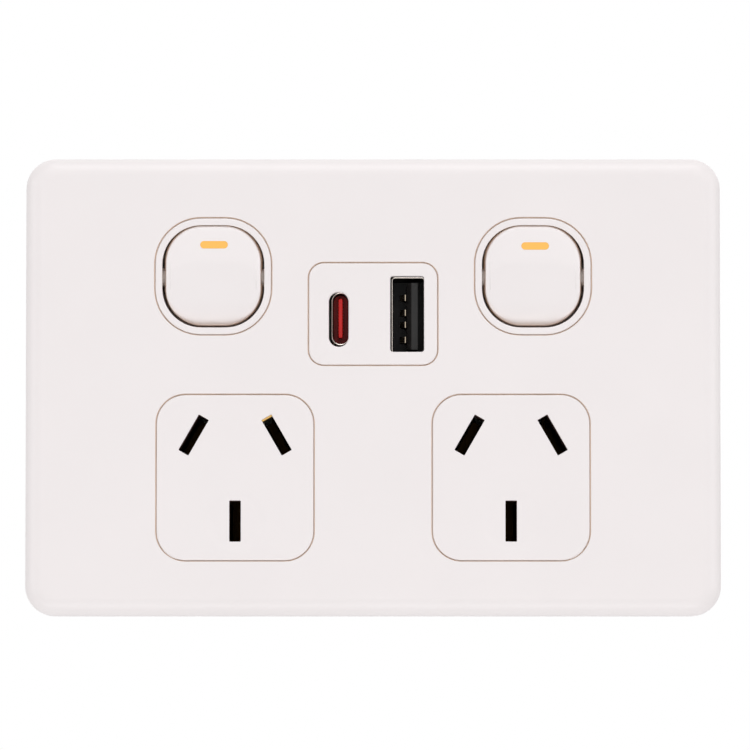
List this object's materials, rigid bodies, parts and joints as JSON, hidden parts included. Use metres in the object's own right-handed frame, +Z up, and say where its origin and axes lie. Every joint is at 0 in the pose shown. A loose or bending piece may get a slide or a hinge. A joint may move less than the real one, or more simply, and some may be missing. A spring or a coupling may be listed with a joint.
{
  "type": "usb wall socket",
  "caption": "Double switched three-pin wall outlet plate with rocker switches, clip-on cover, and upright USB-A and USB-C charging ports between the switches.",
  "frame": {"origin": "centre of the plate on the wall plane, midway between the two fixing slots", "axes": "+X to the right seen from the front, -Y out of the wall towards the user, +Z up"},
  "size_m": [0.1154, 0.0356, 0.076],
  "materials": {
    "cover_white": "satin moulded",
    "frame_white": "satin moulded",
    "socket_white": "satin moulded",
    "bezel_white": "satin moulded",
    "rocker_white": "semi-gloss moulded",
    "mark_orange": "inlaid",
    "insert_white": "satin moulded",
    "housing_plastic": "fine moulded grain",
    "plunger_plastic": "plain moulded",
    "spring_steel": "drawn wire",
    "strip_brass": "stamped",
    "contact_copper": "stamped",
    "contact_silver": "riveted",
    "terminal_brass": "turned",
    "screw_steel": "zinc plated",
    "terminal_screw_brass": "turned",
    "port_steel": "nickel plated sheet",
    "tongue_black": "plain moulded",
    "tongue_red": "plain moulded",
    "contact_gold": "gold plated",
    "board_green": "solder mask",
    "ferrite": "sintered",
    "tape_yellow": "wound tape",
    "can_black": "sleeved can",
    "chip_black": "moulded package",
    "lead_brown": "insulated wire",
    "lead_blue": "insulated wire"
  },
  "bodies": {
    "base": {"active_clip_left": "strip_brass", "active_clip_right": "strip_brass", "active_lead": "lead_brown", "active_shroud": "housing_plastic", "active_strip": "strip_brass", "active_terminal": "terminal_brass", "bridge_rectifier": "chip_black", "charger_housing": "housing_plastic", "control_chip": "chip_black", "cover_plate": "cover_white", "earth_shroud": "housing_plastic", "earth_strip": "strip_brass", "earth_terminal": "terminal_brass", "fixed_tip_left": "contact_silver", "fixed_tip_right": "contact_silver", "housing_screws": "screw_steel", "input_capacitor": "can_black", "mounting_frame": "frame_white", "neutral_lead": "lead_blue", "neutral_shroud": "housing_plastic", "neutral_strip": "strip_brass", "neutral_terminal": "terminal_brass", "output_capacitor": "can_black", "rear_housing": "housing_plastic", "socket_face_left": "socket_white", "socket_face_right": "socket_white", "switch_housing_left": "bezel_white", "switch_housing_right": "bezel_white", "terminal_screws": "terminal_screw_brass", "transformer_core": "ferrite", "transformer_winding": "tape_yellow", "usb_a_contacts": "contact_gold", "usb_a_shell": "port_steel", "usb_a_tongue": "tongue_black", "usb_board": "board_green", "usb_c_contacts": "contact_gold", "usb_c_shell": "port_steel", "usb_c_tongue": "tongue_red", "usb_insert": "insert_white"},
    "rocker_left": {"rocker_left": "rocker_white", "rocker_mark_left": "mark_orange", "switch_spring_left": "spring_steel"},
    "plunger_left": {"plunger_left": "plunger_plastic"},
    "contact_left": {"moving_contact_left": "contact_copper", "moving_tip_left": "contact_silver"},
    "rocker_right": {"rocker_right": "rocker_white", "rocker_mark_right": "mark_orange", "switch_spring_right": "spring_steel"},
    "plunger_right": {"plunger_right": "plunger_plastic"},
    "contact_right": {"moving_contact_right": "contact_copper", "moving_tip_right": "contact_silver"}
  },
  "joints": [
    {"name": "rocker_left_hinge", "type": "hinge", "parent": "base", "child": "rocker_left", "pos_m": [-0.0265, -0.0076, 0.0183], "axis": [-1, 0, 0], "range_deg": [0, 14]},
    {"name": "plunger_left_slide", "type": "slide", "parent": "rocker_left", "child": "plunger_left", "axis": [0, -0.9925, -0.1219], "range_m": [0, 0.0006], "stiffness_N_per_m": 300, "deforming": ["switch_spring_left"]},
    {"name": "contact_left_rock", "type": "hinge", "parent": "base", "child": "contact_left", "pos_m": [-0.0265, 0.00645, 0.0183], "axis": [1, 0, 0], "range_deg": [0, 16]},
    {"name": "rocker_right_hinge", "type": "hinge", "parent": "base", "child": "rocker_right", "pos_m": [0.0265, -0.0076, 0.0183], "axis": [-1, 0, 0], "range_deg": [0, 14]},
    {"name": "plunger_right_slide", "type": "slide", "parent": "rocker_right", "child": "plunger_right", "axis": [0, -0.9925, -0.1219], "range_m": [0, 0.0006], "stiffness_N_per_m": 300, "deforming": ["switch_spring_right"]},
    {"name": "contact_right_rock", "type": "hinge", "parent": "base", "child": "contact_right", "pos_m": [0.0265, 0.00645, 0.0183], "axis": [1, 0, 0], "range_deg": [0, 16]}
  ],
  "couplings": [
    {"joint": "contact_left_rock", "follows": "rocker_left_hinge", "ratio": 1.1429},
    {"joint": "contact_right_rock", "follows": "rocker_right_hinge", "ratio": 1.1429}
  ]
}
